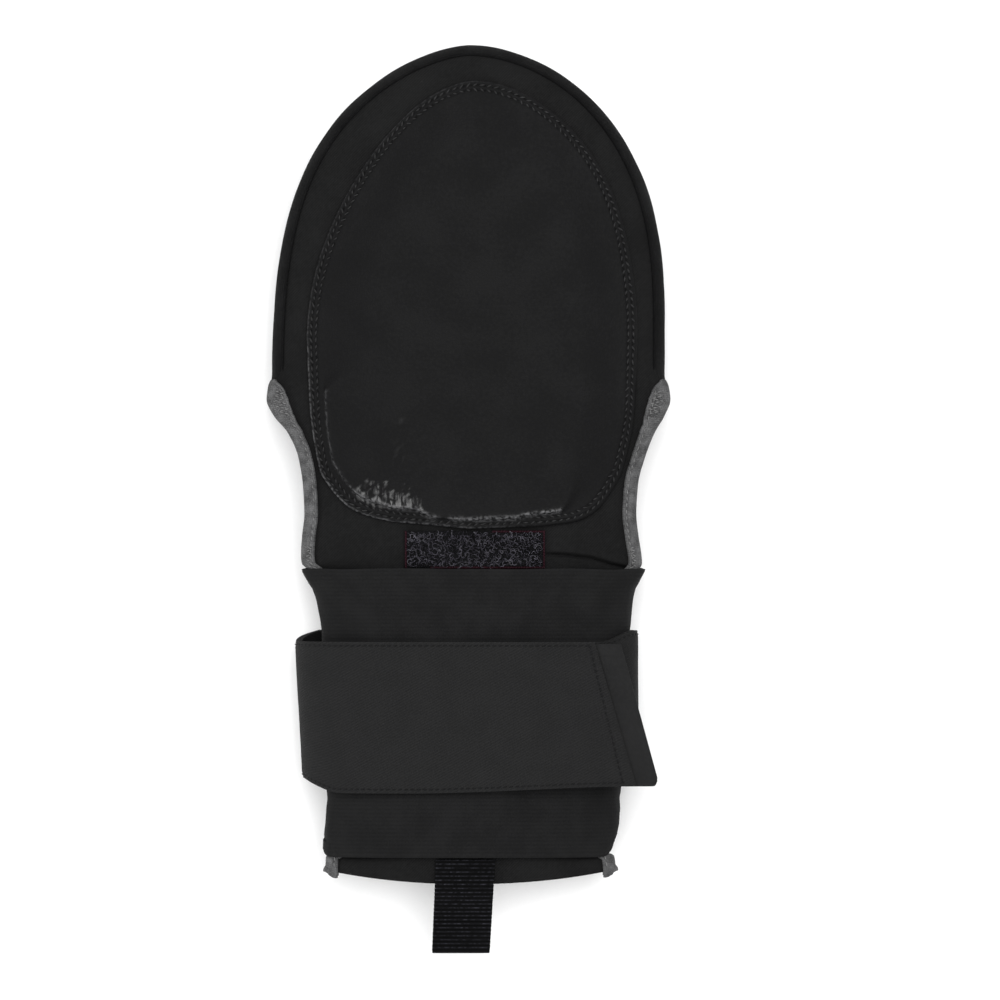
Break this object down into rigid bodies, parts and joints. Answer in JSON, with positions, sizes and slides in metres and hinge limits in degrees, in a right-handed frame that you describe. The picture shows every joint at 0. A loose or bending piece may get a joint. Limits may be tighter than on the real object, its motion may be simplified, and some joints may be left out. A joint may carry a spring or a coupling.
{
  "type": "sliding mitt",
  "caption": "Padded mitt worn over the hand when sliding, with a stitched front patch, open thumb notches, an elastic wrist sleeve, a wrap strap and a pull loop.",
  "frame": {"origin": "centre of the bounding box on the surface that the mitt lies on", "axes": "+Z out of the front patch, +Y towards the fingertips, -Y towards the cuff, +X to the right with the fingertips up"},
  "size_m": [0.1374, 0.3094, 0.0389],
  "materials": {
    "padding": "matte knitted cover over foam, black",
    "rim": "matte stretch side wall, black",
    "patch": "smooth synthetic leather, black, scuffed at its lower corner",
    "pile": "fuzzy loop pile, blue-black",
    "tape": "mottled woven binding tape, grey",
    "elastic": "ribbed elastic, black",
    "strap": "brushed strap cloth, soft black",
    "ribbon": "smooth woven ribbon, black, bare",
    "webbing": "ribbed narrow webbing, black"
  },
  "bodies": {
    "root": {"front_panel": "padding", "back_panel": "padding", "rim_gusset": "rim", "impact_patch": "patch", "loop_patch": "pile", "binding_front_left": "tape", "binding_back_left": "tape", "binding_front_right": "tape", "binding_back_right": "tape", "wrist_band": "elastic", "closure_strap": "strap", "grip_tab": "ribbon", "pull_tab": "webbing"}
  },
  "joints": []
}
